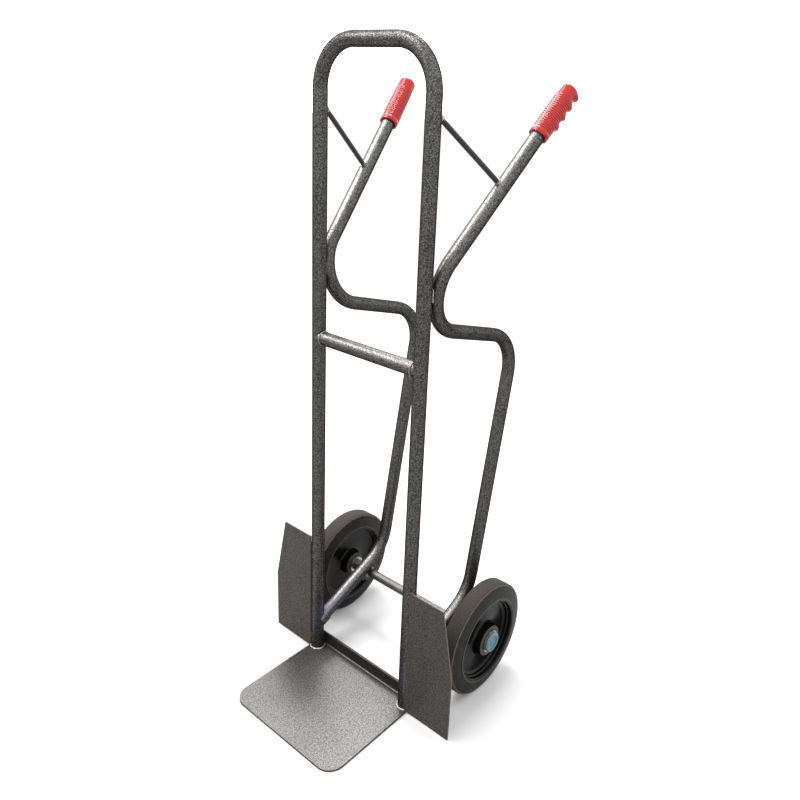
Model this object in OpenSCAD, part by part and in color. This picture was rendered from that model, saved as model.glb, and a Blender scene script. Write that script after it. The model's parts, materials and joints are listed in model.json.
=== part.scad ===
// Hand truck: a looped tube frame on a folded toe plate, two bent handle tubes
// that run down behind the frame as stair skids, and two solid rubber wheels.
// Origin: on the floor, midway between the two uprights.
// X runs across the truck, Y towards the handles and wheels, Z up.

/* [Frame] */
// Outside diameter of every frame and handle tube
tube_d = 28.6; // [24:0.2:34]
// Wall thickness of the tubes
tube_wall = 2; // [1.5:0.1:3]
// Distance between the centre lines of the two uprights
upright_spacing = 270.6; // [220:0.1:340]
// Height of the top of the frame above the floor
frame_h = 1340; // [1150:5:1560]
// Bend radius of the frame's two top corners, at the tube's centre line
top_bend_r = 83.5; // [60:0.5:100]
// Distance from the frame's top down to the cross bar's centre line
cross_bar_drop = 577; // [420:1:680]

/* [Toe plate] */
// Thickness of the toe plate and of its upturned rear edge
plate_t = 5; // [4:0.5:8]
// Distance from the uprights' centre lines to the plate's front edge
plate_reach = 229; // [180:1:300]
// Radius of the plate's two front corners
plate_corner_r = 35; // [15:1:60]
// Inside radius of the fold at the plate's rear
plate_fold_r = 2; // [1:0.5:6]
// Height of the upturned rear edge above the floor
flange_h = 33; // [24:1:70]

/* [Handles] */
// How far each handle tube stands inwards of its upright's centre line
skid_inset = 3.8; // [0:0.1:8]
// Bend radius of the handle tubes at their centre line
handle_bend_r = 88; // [70:0.5:94]
// Distance from the frame's top down to the handle tube's fold corner
fold_drop = 485.5; // [400:0.5:560]
// Downward slope of the skid run towards the rear, in degrees
run_drop = 14.5; // [8:0.1:20]
// Angle between the grip arm and the skid run, in degrees
arm_angle = 63.2; // [58:0.1:72]
// Outward tilt of the grip arm, in degrees
arm_splay = 8.2; // [2:0.1:12]
// Distance along the grip arm from the fold corner to the tube's end
arm_reach = 546; // [450:1:620]
// Distance from the uprights' plane to the skid's rear corner
rear_corner_y = 311.5; // [280:0.5:340]
// Distance from the uprights' plane to the skid's lower corner
knee_y = 212; // [195:0.5:240]
// Height of the skid's lower corner above the axle
knee_rise = 50.5; // [46:0.5:56]
// Height of the axle above the point where the skid's foot meets the upright
foot_drop = 50; // [42:0.5:56]
// Diameter of the thin brace rods
brace_d = 10; // [7:0.5:13]
// Distance from the frame's top down to a brace's upper end
brace_drop = 130.5; // [115:0.5:260]
// Distance along the grip arm from the fold corner to the brace
brace_along = 314; // [250:1:380]

/* [Grips] */
// Outside diameter of the grip at its open end
grip_d = 40; // [34:0.5:44]
// Outside diameter of the grip at its closed end
grip_top_d = 37; // [33:0.5:41]
// Length of each grip from its open end to its closed end
grip_len = 116; // [114:1:140]
// Thickness of the grip's closed end
grip_end_t = 5; // [3:0.5:8]
// Distance from the grip's axis to the tips of the finger ridges
ridge_reach = 25; // [22:0.5:28]
// Distance between neighbouring finger ridges
finger_pitch = 23.5; // [18:0.1:24]
// Turn of the finger ridges from straight under to the outer side, in degrees
finger_turn = 37; // [0:1:90]

/* [Wheel guards] */
// Thickness of the guard plates
guard_t = 3; // [2:0.5:5]
// Distance from the uprights' plane forward to a guard's middle plane
guard_y = 11; // [9:0.5:12]
// Width from the upright's centre line to the guard's lower outer edge
guard_reach = 126.6; // [110:0.2:150]
// Width from the upright's centre line to the guard's upper outer corner
guard_top_reach = 96.8; // [70:0.2:110]
// Height of the guard's top edge
guard_top_z = 298; // [240:1:360]
// Height at which the guard's outer edge starts to lean inwards
guard_knee_z = 150.6; // [110:0.2:200]

/* [Wheels] */
// Outside diameter of the tyre
wheel_d = 250; // [220:1:270]
// Distance from each handle tube's centre line out to the wheel's middle
wheel_offset = 73.9; // [68:0.1:90]
// Width of the flat tread
tread_w = 32; // [24:0.5:40]
// Width of the tyre at its inner edge
tyre_w = 48.4; // [40:0.2:56]
// Outside diameter of the plastic rim, which is the tyre's inside diameter
rim_d = 184; // [160:1:200]
// Thickness of the rim's web
web_t = 8; // [5:0.5:12]
// Length of the hub
hub_len = 52; // [44:0.5:56]
// Diameter of the hub's outer end
hub_outer_d = 66; // [56:0.5:76]
// Diameter of the hub's inner end
hub_inner_d = 54; // [48:0.5:60]

/* [Axle] */
// Diameter of the axle bar
axle_d = 21; // [18:0.5:22]
// Diameter of the bearing rollers
roller_d = 5; // [4:0.25:6]
// Number of rollers in each bearing
roller_count = 8; // [6:1:9]
// Outside diameter of the caps on the axle's ends
cap_d = 44.5; // [38:0.5:50]
// Thickness of the axle bracket plates
bracket_t = 5; // [4:0.5:8]
// Outside diameter of the spacer tubes between bracket and wheel
spacer_d = 27; // [25:0.5:30]
// Outside diameter of the plain washers inside each wheel
washer_d = 38; // [34:0.5:44]

/* [Hidden] */
$fn = 72;

// Fits and small clearances
roller_gap = 0.05;    // radial, on each side of a roller
side_gap = 0.3;       // between a turning face and a still one
cage_gap = 0.25;      // round the rollers in the cage
weld_gap = 0.15;      // between tubes that only a weld bead joins
spacer_gap = 0.1;     // radial, between the spacer and the axle
bend_thin = 0.25;     // a bend's wall is thinner by this on each side
lap = 0.3;            // a straight tube runs this far into a bend

// Frame
tube_r = tube_d / 2;
ux = upright_spacing / 2;
top_z = frame_h - tube_r;
steel = [0.36, 0.34, 0.32];
bright = [0.72, 0.71, 0.70];

// Toe plate: its fold starts behind the uprights' backs
flange_y = tube_r + plate_fold_r + 0.1;
plate_w = upright_spacing + tube_d + 0.2;

// Wheels and bearings
wheel_r = wheel_d / 2;
axle_z = wheel_r;
axle_r = axle_d / 2;
skid_x = ux - skid_inset;
wheel_x = skid_x + wheel_offset;
sleeve_in_r = axle_r + roller_d + 2 * roller_gap;
sleeve_out_r = sleeve_in_r + 2;
roller_pitch_r = axle_r + roller_gap + roller_d / 2;
roller_len = hub_len - 10;
hub_in_x = wheel_x - hub_len / 2;
hub_out_x = wheel_x + hub_len / 2;
washer_t = 2.5;
washers_x = hub_in_x - side_gap - 2 * washer_t;
// The spacer starts where it clears the skid's lower leg
leg_clear = tube_r + axle_r + weld_gap - spacer_d / 2 - side_gap;
spacer_x = skid_x + max(bracket_t / 2,
                        sqrt(max(0, tube_r * tube_r - leg_clear * leg_clear)));
outer_washer_d = cap_d + 4;
outer_washer_t = 2;
cap_x = hub_out_x + side_gap + outer_washer_t;
cap_t = 7;
cap_bore = 4;
axle_half = cap_x + cap_bore;

// Handle tubes. The path's corners as [y, z] in the skid's own plane
tilt = run_drop;
half_fold = arm_angle / 2;
fold_reach = handle_bend_r / tan(half_fold);
fold_z = frame_h - fold_drop;
cross_bar_z = frame_h - cross_bar_drop;
brace_top_z = frame_h - brace_drop;
// The fold's crown leans on the back of the upright: how far the crown lies
// behind the fold corner, how far outward, and so where the corner goes
crown_lean = atan(tan(tilt) * cos(arm_splay));
crown_reach = fold_reach * cos(tilt)
    + handle_bend_r * (sin(tilt) * cos(arm_splay)
    - norm([cos(tilt), sin(tilt) * cos(arm_splay)]));
crown_out = handle_bend_r * (1 - sin(crown_lean)) * sin(arm_splay)
    - skid_inset;
fold_y = sqrt(pow(tube_d + weld_gap, 2) - pow(crown_out, 2)) - crown_reach;
crown_z = fold_z - fold_reach * sin(tilt)
    + handle_bend_r * (1 - sin(crown_lean)) * cos(arm_splay) * cos(tilt)
    + handle_bend_r * cos(crown_lean) * sin(tilt);
rear_corner_z = fold_z - (rear_corner_y - fold_y) * tan(tilt);
knee_z = axle_z + knee_rise;
p_fold = [fold_y, fold_z];
p_rear = [rear_corner_y, rear_corner_z];
p_knee = [knee_y, knee_z];
p_foot = [0, axle_z - foot_drop];
run_start = p_fold + fold_reach * [cos(tilt), -sin(tilt)];
grip_start = arm_reach + grip_end_t - grip_len;

// Direction of the skid's lower leg; the axle lies against its underside
leg = (p_foot - p_knee) / norm(p_foot - p_knee);
axle_y = knee_y - (tube_r + axle_r + weld_gap - knee_rise * -leg[0])
    / leg[1];

function dir(a, b) = (b - a) / norm(b - a);
function heading(a, b) = atan2((b - a)[1], (b - a)[0]);
// Tangent length of a bend of radius r at corner b between a and c
function tangent(a, b, c, r) =
    r / tan(acos(dir(b, a) * dir(b, c)) / 2);

// Ring profile of the tube, its wall thinned by cut on both sides
module ring(cut = 0) {
    difference() {
        circle(d = tube_d - 2 * cut);
        circle(d = tube_d - 2 * tube_wall + 2 * cut);
    }
}

// Straight tube between two [y, z] points of the plane x = 0, lapping
// into the bends at both ends
module run(a, b) {
    translate([0, a[0], a[1]])
        rotate([heading(a, b) - 90, 0, 0])
            translate([0, 0, -lap])
                linear_extrude(norm(b - a) + 2 * lap) ring();
}

// Bend of radius r round the corner b, in the plane x = 0
module bend(a, b, c, r) {
    t = tangent(a, b, c, r);
    u = dir(b, a);
    v = dir(b, c);
    m = b + (u + v) / norm(u + v) * sqrt(r * r + t * t);
    s = heading(m, b + t * u);
    e = heading(m, b + t * v);
    sweep = e - s > 180 ? e - s - 360 : e - s < -180 ? e - s + 360 : e - s;
    translate([0, m[0], m[1]])
        rotate([90, 0, 90])
            rotate_extrude(angle = abs(sweep), start = sweep > 0 ? s : e)
                translate([r, 0]) ring(bend_thin);
}

// The grip arm's frame: local +Z runs up the arm from the fold's corner
module on_arm() {
    translate([skid_x, fold_y, fold_z])
        rotate([-tilt, 0, 0]) rotate([0, arm_splay, 0])
            rotate([arm_angle - 90, 0, 0]) children();
}

// The upright tubes' outside, used to shape whatever meets them
module upright_core(x = ux) {
    translate([x, 0, -50]) cylinder(d = tube_d, h = frame_h);
}

// Mirrored copy for the left side
module side(s) {
    if (s < 0) mirror([1, 0, 0]) children();
    else children();
}

// ---- frame ----
module main_frame() {
    color(steel) {
        for (s = [-1, 1]) {
            translate([s * ux, 0, plate_t])
                linear_extrude(top_z - top_bend_r - plate_t + lap) ring();
            translate([s * (ux - top_bend_r), 0, top_z - top_bend_r])
                rotate([90, 0, 0])
                    rotate_extrude(angle = 90, start = s > 0 ? 0 : 90)
                        translate([top_bend_r, 0]) ring(bend_thin);
        }
        translate([-(ux - top_bend_r) - lap, 0, top_z]) rotate([0, 90, 0])
            linear_extrude(2 * (ux - top_bend_r + lap)) ring();
    }
}

module cross_bar() {
    color(steel) difference() {
        translate([-ux, 0, cross_bar_z]) rotate([0, 90, 0])
            linear_extrude(2 * ux) ring();
        for (s = [-1, 1]) upright_core(s * ux);
    }
}

module toe_plate() {
    color([0.45, 0.43, 0.42]) {
        linear_extrude(plate_t) difference() {
            translate([-plate_w / 2, -plate_reach])
                square([plate_w, plate_reach + flange_y - plate_fold_r]);
            for (s = [-1, 1])
                translate([s * (plate_w / 2 - plate_corner_r),
                           -plate_reach + plate_corner_r])
                    difference() {
                        translate([s > 0 ? 0 : -plate_corner_r - 1,
                                   -plate_corner_r - 1])
                            square(plate_corner_r + 1);
                        circle(r = plate_corner_r);
                    }
        }
        translate([-plate_w / 2, flange_y - plate_fold_r,
                   plate_t + plate_fold_r])
            rotate([90, 0, 90]) rotate([0, 0, -90])
                linear_extrude(plate_w) intersection() {
                    difference() {
                        circle(r = plate_fold_r + plate_t);
                        circle(r = plate_fold_r);
                    }
                    square(plate_fold_r + plate_t + 1);
                }
        translate([-plate_w / 2, flange_y, plate_t + plate_fold_r])
            cube([plate_w, plate_t, flange_h - plate_t - plate_fold_r]);
    }
}

// ---- handle tubes ----
module handle_tube(s) {
    t_rear = tangent(p_fold, p_rear, p_knee, handle_bend_r);
    t_knee = tangent(p_rear, p_knee, p_foot, handle_bend_r);
    rear_a = p_rear + t_rear * dir(p_rear, p_fold);
    rear_b = p_rear + t_rear * dir(p_rear, p_knee);
    knee_a = p_knee + t_knee * dir(p_knee, p_rear);
    knee_b = p_knee + t_knee * dir(p_knee, p_foot);
    color(steel) side(s) {
        on_arm() {
            translate([0, 0, fold_reach - lap])
                linear_extrude(arm_reach - fold_reach + lap) ring();
        }
        translate([skid_x, fold_y, fold_z])
            rotate([-tilt, 0, 0]) rotate([0, arm_splay, 0])
                bend([cos(arm_angle), sin(arm_angle)], [0, 0], [1, 0],
                     handle_bend_r);
        translate([skid_x, 0, 0]) {
            run(run_start, rear_a);
            bend(p_fold, p_rear, p_knee, handle_bend_r);
            run(rear_b, knee_a);
            bend(p_rear, p_knee, p_foot, handle_bend_r);
        }
        difference() {
            translate([skid_x, 0, 0]) run(knee_b, p_foot);
            upright_core();
        }
    }
}
module left_handle_tube() { handle_tube(-1); }
module right_handle_tube() { handle_tube(1); }

// Centre point of the brace's lower end on the arm's axis
module brace_line(extra = 0) {
    c = cos(tilt);
    n = sin(tilt);
    arm = brace_along * [
        sin(arm_angle) * sin(arm_splay),
        cos(arm_angle) * c + sin(arm_angle) * cos(arm_splay) * n,
        sin(arm_angle) * cos(arm_splay) * c - cos(arm_angle) * n];
    low = [skid_x, fold_y, fold_z] + arm;
    high = [ux, tube_r - 4, brace_top_z];
    v = low - high;
    translate(high)
        rotate([0, acos(v[2] / norm(v)), atan2(v[1], v[0])])
            translate([0, 0, -extra]) cylinder(d = brace_d,
                                               h = norm(v) + 2 * extra);
}
module brace(s) {
    color([0.2, 0.19, 0.19]) side(s) difference() {
        brace_line();
        upright_core();
        on_arm() cylinder(d = tube_d, h = 600);
    }
}
module left_brace() { brace(-1); }
module right_brace() { brace(1); }

// ---- wheel guards ----
module wheel_guard(s) {
    inner = ux + sqrt(tube_r * tube_r - pow(guard_y - guard_t / 2, 2)) + 0.1;
    color([0.34, 0.33, 0.32]) side(s)
        translate([0, -guard_y + guard_t / 2, 0]) rotate([90, 0, 0])
            linear_extrude(guard_t) polygon([
                [inner, plate_t],
                [ux + guard_reach, plate_t],
                [ux + guard_reach, guard_knee_z],
                [ux + guard_top_reach, guard_top_z],
                [inner, guard_top_z]]);
}
module left_wheel_guard() { wheel_guard(-1); }
module right_wheel_guard() { wheel_guard(1); }

// ---- axle group ----
// Plate under the skid's lower leg, its round end carrying the axle
module axle_bracket(s) {
    hub = [axle_y, axle_z];
    front = p_knee + ((hub - p_knee) * leg + 34) * leg;
    t = tangent(p_rear, p_knee, p_foot, handle_bend_r);
    inwards = dir(p_knee, p_rear) + leg;
    knee_mid = p_knee + inwards / norm(inwards)
        * sqrt(handle_bend_r * handle_bend_r + t * t);
    color(steel) side(s) translate([skid_x - bracket_t / 2, 0, 0])
        rotate([90, 0, 90]) linear_extrude(bracket_t) difference() {
            polygon(concat(
                [p_knee, p_knee + [1, -tube_r - 4], hub + [26, -12]],
                [for (a = [-38:-8:-142])
                    hub + (axle_r + 11) * [cos(a), sin(a)]],
                [hub + [-24, -12], front]));
            // cleared along the tube's lower leg and round its knee
            translate(knee_mid) circle(r = handle_bend_r + tube_r + 0.05);
            translate(p_knee) rotate(atan2(leg[1], leg[0]))
                translate([t - 10, -2 * tube_r])
                    square([160, 3 * tube_r + 0.05]);
            // the axle lies in an open seat
            translate(hub) circle(r = axle_r);
            translate(hub) rotate(atan2(leg[1], leg[0]))
                translate([-5, -axle_r - 4]) square([10, 8]);
        }
}
module left_axle_bracket() { axle_bracket(-1); }
module right_axle_bracket() { axle_bracket(1); }

// Places children with local Z along +X on the axle's line, at x
module on_axle(x, s = 1) {
    side(s) translate([x, axle_y, axle_z]) rotate([0, 90, 0]) children();
}
module pipe(r_out, r_in, h) {
    linear_extrude(h) difference() {
        circle(r = r_out);
        circle(r = r_in);
    }
}

module axle() {
    color([0.42, 0.40, 0.39]) on_axle(-axle_half)
        cylinder(r = axle_r, h = 2 * axle_half);
}
module spacer(s) {
    color([0.6, 0.6, 0.6]) on_axle(spacer_x, s)
        pipe(spacer_d / 2, axle_r + spacer_gap, washers_x - spacer_x);
}
module left_spacer() { spacer(-1); }
module right_spacer() { spacer(1); }

module inner_washers(s) {
    color([0.75, 0.76, 0.78]) for (i = [0, 1])
        on_axle(washers_x + i * (washer_t + 0.02), s)
            pipe(washer_d / 2 - i, axle_r + spacer_gap, washer_t - 0.02);
}
module left_inner_washers() { inner_washers(-1); }
module right_inner_washers() { inner_washers(1); }

module outer_washer(s) {
    color([0.75, 0.76, 0.78]) on_axle(hub_out_x + side_gap, s)
        pipe(outer_washer_d / 2, axle_r + spacer_gap, outer_washer_t);
}
module left_outer_washer() { outer_washer(-1); }
module right_outer_washer() { outer_washer(1); }

module axle_cap(s) {
    r = cap_d / 2;
    color([0.22, 0.5, 0.62]) on_axle(cap_x, s) rotate_extrude()
        difference() {
            polygon([[0, 0], [r, 0], [r, cap_t - 3], [r - 1, cap_t - 1],
                     [r - 3, cap_t], [r - 7, cap_t], [r - 9, cap_t - 1],
                     [0, cap_t - 1]]);
            translate([-1, -1]) square([axle_r + 1, cap_bore + 1]);
        }
}
module left_axle_cap() { axle_cap(-1); }
module right_axle_cap() { axle_cap(1); }

// ---- wheels ----
module tyre(s) {
    w = tyre_w / 2;
    t = tread_w / 2;
    color([0.16, 0.15, 0.14]) on_axle(wheel_x, s) rotate_extrude($fn = 96)
        polygon([[rim_d / 2, -w], [rim_d / 2, w], [rim_d / 2 + 3, w],
                 [wheel_r - 6, t + 2.6], [wheel_r - 1.6, t + 1.2],
                 [wheel_r, t - 1], [wheel_r, -t + 1],
                 [wheel_r - 1.6, -t - 1.2], [wheel_r - 6, -t - 2.6],
                 [rim_d / 2 + 3, -w]]);
}
module left_tyre() { tyre(-1); }
module right_tyre() { tyre(1); }

// Rim in one turned profile: barrel, web and hub
module rim(s) {
    w = tyre_w / 2;
    r = rim_d / 2;
    h = hub_len / 2;
    bore = sleeve_out_r;
    color([0.05, 0.05, 0.05]) on_axle(wheel_x, s) rotate_extrude($fn = 96)
        polygon([
            [bore, -h], [hub_inner_d / 2 - 1, -h], [hub_inner_d / 2, -h + 1],
            [hub_inner_d / 2 + 3, -web_t / 2 - 3],
            [hub_inner_d / 2 + 6, -web_t / 2],
            [r - 13, -web_t / 2], [r - 9, -web_t / 2 - 4],
            [r - 6, -w + 4], [r - 3.5, -w + 0.6], [r, -w + 0.6],
            [r, w - 0.6], [r - 3.5, w - 0.6], [r - 6, w - 4],
            [r - 9, web_t / 2 + 4], [r - 13, web_t / 2],
            [hub_outer_d / 2 + 4, web_t / 2],
            [hub_outer_d / 2 + 1.5, web_t / 2 + 3],
            [hub_outer_d / 2, h - 1], [hub_outer_d / 2 - 1, h],
            [bore, h]]);
}
module left_rim() { rim(-1); }
module right_rim() { rim(1); }

module bearing_sleeve(s) {
    color([0.7, 0.7, 0.72]) on_axle(hub_in_x, s)
        pipe(sleeve_out_r, sleeve_in_r, hub_len);
}
module left_bearing_sleeve() { bearing_sleeve(-1); }
module right_bearing_sleeve() { bearing_sleeve(1); }

module roller_spots() {
    for (i = [0:roller_count - 1])
        rotate([0, 0, i * 360 / roller_count])
            translate([roller_pitch_r, 0, 0]) children();
}
module roller_cage(s) {
    h = roller_len + 6;
    color([0.85, 0.83, 0.75]) on_axle(wheel_x - h / 2, s) difference() {
        pipe(roller_pitch_r + 1, roller_pitch_r - 1, h);
        roller_spots() translate([0, 0, 3 - cage_gap])
            cylinder(r = roller_d / 2 + cage_gap,
                     h = roller_len + 2 * cage_gap);
    }
}
module left_roller_cage() { roller_cage(-1); }
module right_roller_cage() { roller_cage(1); }

module rollers(s) {
    color([0.8, 0.8, 0.82]) on_axle(wheel_x - roller_len / 2, s)
        roller_spots() cylinder(d = roller_d, h = roller_len);
}
module left_rollers() { rollers(-1); }
module right_rollers() { rollers(1); }

// ---- grips ----
module grip(s) {
    r = grip_d / 2;
    rt = grip_top_d / 2;
    first = 26;
    // side outline of the ridges: each leans towards the open end
    teeth = [for (i = [0:3]) let (z = first + i * finger_pitch)
        each [[z, rt - 0.6], [z + finger_pitch * 0.36, ridge_reach - 0.4],
              [z + finger_pitch * 0.5, ridge_reach - 0.4]]];
    color([0.85, 0.12, 0.1]) side(s) on_arm() translate([0, 0, grip_start])
        difference() {
            union() {
                cylinder(r1 = r, r2 = rt, h = grip_len - 4);
                translate([0, 0, grip_len - 4])
                    cylinder(r1 = rt, r2 = rt - 4, h = 4);
                rotate([0, 0, -finger_turn]) intersection() {
                    translate([0, ridge_reach - 13, first])
                        cylinder(r = 13, h = grip_len - first - 3);
                    rotate([0, -90, 0]) translate([0, 0, -20])
                        linear_extrude(40) polygon(concat([[first, 0]],
                            teeth, [[grip_len - 3, rt], [grip_len - 3, 0]]));
                }
            }
            translate([0, 0, -1])
                cylinder(r = tube_r, h = grip_len - grip_end_t + 1);
        }
}
module left_grip() { grip(-1); }
module right_grip() { grip(1); }

// ---- weld beads ----
// Bead ring of the given leg round a tube of radius r
module bead(r, leg) {
    rotate_extrude() polygon([[r, 0], [r + leg, 0], [r + leg * 0.75,
        leg * 0.55], [r + leg * 0.25, leg * 0.9], [r, leg]]);
}
module foot_welds() {
    color(bright) for (s = [-1, 1]) side(s) difference() {
        translate([ux, 0, plate_t]) bead(tube_r, 4.5);
        // trimmed at the fold and at the guard
        translate([ux - 30, flange_y - plate_fold_r, plate_t - 1])
            cube([60, 20, 10]);
        translate([ux, -guard_y - guard_t / 2 - 0.1, plate_t - 1])
            cube([30, guard_t + 0.2, 10]);
    }
}
module cross_bar_welds() {
    color(bright) for (s = [-1, 1]) side(s) difference() {
        translate([ux - tube_r - 3, 0, cross_bar_z]) rotate([0, 90, 0])
            pipe(tube_r + 2, tube_r, tube_r + 2);
        upright_core();
    }
}
module skid_foot_welds() {
    u = dir(p_foot, p_knee);
    start = p_foot + (tube_r / u[0] + 1) * u;
    color(bright) for (s = [-1, 1]) side(s) difference() {
        translate([skid_x, start[0], start[1]])
            rotate([heading(p_foot, p_knee) - 90, 0, 0])
                translate([0, 0, -tube_r])
                    pipe(tube_r + 2, tube_r, tube_r + 5);
        upright_core();
    }
}
// Two short beads where the fold's crown leans on the upright
module fold_welds() {
    color(bright) for (s = [-1, 1]) side(s)
        translate([ux, 0, crown_z])
            rotate([0, 0, -atan2(crown_out, crown_reach + fold_y)])
                for (k = [-1, 1]) translate([k * 5.5, tube_r, 0])
                    cylinder(d = 4.6, h = 24, center = true);
}
module brace_welds() {
    c = cos(tilt);
    n = sin(tilt);
    arm = brace_along * [
        sin(arm_angle) * sin(arm_splay),
        cos(arm_angle) * c + sin(arm_angle) * cos(arm_splay) * n,
        sin(arm_angle) * cos(arm_splay) * c - cos(arm_angle) * n];
    low = [skid_x, fold_y, fold_z] + arm;
    high = [ux, tube_r - 4, brace_top_z];
    v = low - high;
    color(bright) for (s = [-1, 1]) side(s) difference() {
        translate(high) rotate([0, acos(v[2] / norm(v)), atan2(v[1], v[0])])
        {
            pipe(brace_d / 2 + 1.5, brace_d / 2, 11);
            translate([0, 0, norm(v) - tube_r - 5])
                pipe(brace_d / 2 + 1.5, brace_d / 2, tube_r);
        }
        upright_core();
        on_arm() cylinder(d = tube_d, h = 600);
    }
}
// Short beads along each guard's edge at the upright
module guard_welds() {
    x = ux + sqrt(tube_r * tube_r - pow(guard_y - guard_t / 2, 2));
    color(bright) for (s = [-1, 1]) side(s)
        for (z = [plate_t + 22, guard_top_z - 14])
            difference() {
                translate([x + 0.8, -guard_y + guard_t / 2 + 1.2, z])
                    cylinder(d = 5, h = 14);
                upright_core();
                translate([x + 0.1, -guard_y - guard_t / 2, 0])
                    cube([40, guard_t, frame_h]);
            }
}
module bracket_welds() {
    color(bright) for (s = [-1, 1]) side(s) difference() {
        on_axle(skid_x - bracket_t / 2) mirror([0, 0, 1]) bead(axle_r, 3);
        // trimmed by the skid's lower leg
        translate([skid_x, p_knee[0], p_knee[1]])
            rotate([heading(p_knee, p_foot) - 90, 0, 0])
                cylinder(d = tube_d + 0.1, h = norm(p_foot - p_knee));
    }
}

main_frame();
cross_bar();
toe_plate();
left_handle_tube();
right_handle_tube();
left_brace();
right_brace();
left_wheel_guard();
right_wheel_guard();
left_axle_bracket();
right_axle_bracket();
axle();
left_spacer();
right_spacer();
left_inner_washers();
right_inner_washers();
left_outer_washer();
right_outer_washer();
left_axle_cap();
right_axle_cap();
left_tyre();
right_tyre();
left_rim();
right_rim();
left_bearing_sleeve();
right_bearing_sleeve();
left_roller_cage();
right_roller_cage();
left_rollers();
right_rollers();
left_grip();
right_grip();
foot_welds();
cross_bar_welds();
skid_foot_welds();
fold_welds();
brace_welds();
guard_welds();
bracket_welds();
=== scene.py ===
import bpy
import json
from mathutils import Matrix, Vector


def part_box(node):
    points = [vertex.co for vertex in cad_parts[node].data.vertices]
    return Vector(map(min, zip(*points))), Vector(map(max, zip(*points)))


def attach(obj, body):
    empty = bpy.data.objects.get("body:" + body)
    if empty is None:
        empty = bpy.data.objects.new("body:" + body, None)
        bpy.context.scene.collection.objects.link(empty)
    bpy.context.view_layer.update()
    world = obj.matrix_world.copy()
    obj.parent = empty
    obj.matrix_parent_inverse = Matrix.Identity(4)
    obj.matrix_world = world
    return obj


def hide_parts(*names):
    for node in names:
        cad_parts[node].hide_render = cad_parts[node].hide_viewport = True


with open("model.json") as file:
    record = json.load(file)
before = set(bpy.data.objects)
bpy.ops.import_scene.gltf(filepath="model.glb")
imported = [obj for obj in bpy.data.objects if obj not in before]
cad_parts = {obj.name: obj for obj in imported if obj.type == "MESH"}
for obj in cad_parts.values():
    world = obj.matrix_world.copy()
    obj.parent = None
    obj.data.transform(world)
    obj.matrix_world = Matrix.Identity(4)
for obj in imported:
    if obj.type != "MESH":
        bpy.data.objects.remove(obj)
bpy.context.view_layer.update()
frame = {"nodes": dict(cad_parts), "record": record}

# Looks for a two-wheeled hand truck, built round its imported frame.
import json
import math

import bmesh
import bpy
from mathutils import Matrix, Vector

bl_info = {
    "name": "Hand truck looks",
    "version": (1, 0, 0),
    "blender": (4, 5, 0),
    "location": "View3D > Sidebar > Hand truck",
    "description": "Finishes, wheels, grips, weld beads and stage for the hand truck",
    "category": "Object",
}

MM = 0.001
X, Y, Z = 0, 1, 2


def mm(*values):
    """Lengths in mm as metres."""
    return tuple(value * MM for value in values)


def centre_of(node):
    low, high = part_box(node)
    return (low + high) / 2


# ---- places and sizes that come from the frame ----
AXLE = centre_of("axle")
WHEEL = centre_of("right_tyre")
TYRE_LOW, TYRE_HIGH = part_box("right_tyre")
WHEEL_R = (TYRE_HIGH.z - TYRE_LOW.z) / 2
BAR_LOW, BAR_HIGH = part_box("cross_bar")
TUBE_R = (BAR_HIGH.z - BAR_LOW.z) / 2
FRAME_LOW, FRAME_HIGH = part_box("main_frame")
UPRIGHT_X = FRAME_HIGH.x - TUBE_R
PLATE_TOP = FRAME_LOW.z

# ---- the grip arm's line, with the CAD's sizes: the fold's corner, then the arm's turns ----
SKID_INSET = 3.8 * MM
FOLD_CORNER = (UPRIGHT_X - SKID_INSET, -44.158 * MM, 854.5 * MM)
RUN_DROP, ARM_SPLAY, ARM_ANGLE = 14.5, 8.2, 63.2  # degrees
ARM = (
    Matrix.Translation(FOLD_CORNER)
    @ Matrix.Rotation(math.radians(-RUN_DROP), 4, "X")
    @ Matrix.Rotation(math.radians(ARM_SPLAY), 4, "Y")
    @ Matrix.Rotation(math.radians(ARM_ANGLE - 90), 4, "X")
)
GRIP_START = 435 * MM

# ---- wheel profiles: radius and distance from the middle plane, in mm ----
TYRE_HALF = 14.6
SIDEWALL = (
    (124.2, 16.3), (122.6, 17.3), (119, 18.5), (113, 20.1), (106, 21.6), (99.5, 22.8),
    (96.2, 23.1), (95.4, 24.0), (93.2, 24.2), (92.0, 23.6),
)
RIM_R, RIM_HALF = 91.95, 23.4
RIM_LIP = (
    (90.4, 23.6), (88.9, 23.2), (87.6, 21.6), (86.8, 14.2), (84.6, 13.2), (83.8, 7.4),
    (81.0, 5.0), (77.5, 4.2),
)
HUB_OUTSIDE = (
    (41.0, 4.0), (37.6, 5.6), (35.2, 10.0), (34.2, 20.0), (33.6, 25.2), (32.4, 26.0),
    (25.2, 26.0), (24.6, 25.3), (17.62, 25.3),
)
HUB_INSIDE = (
    (36.0, 4.0), (31.6, 5.6), (29.0, 10.0), (27.6, 20.0), (27.0, 25.2), (26.0, 26.0),
    (20.4, 26.0), (19.8, 25.6), (17.62, 25.6),
)
# Cap: radius and depth below its outermost face, in mm
CAP_R, CAP_BACK_R, CAP_EDGE_DEPTH = 22.2, 21.6, 2.9
CAP_FACE = (
    (21.9, 2.2), (20.9, 0.8), (19.4, 0.0), (16.0, 0.0), (14.4, 0.5), (13.6, 1.2), (6.0, 1.4),
)
WHEEL_SEGMENTS = 128
CAP_SEGMENTS = 96

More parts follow.
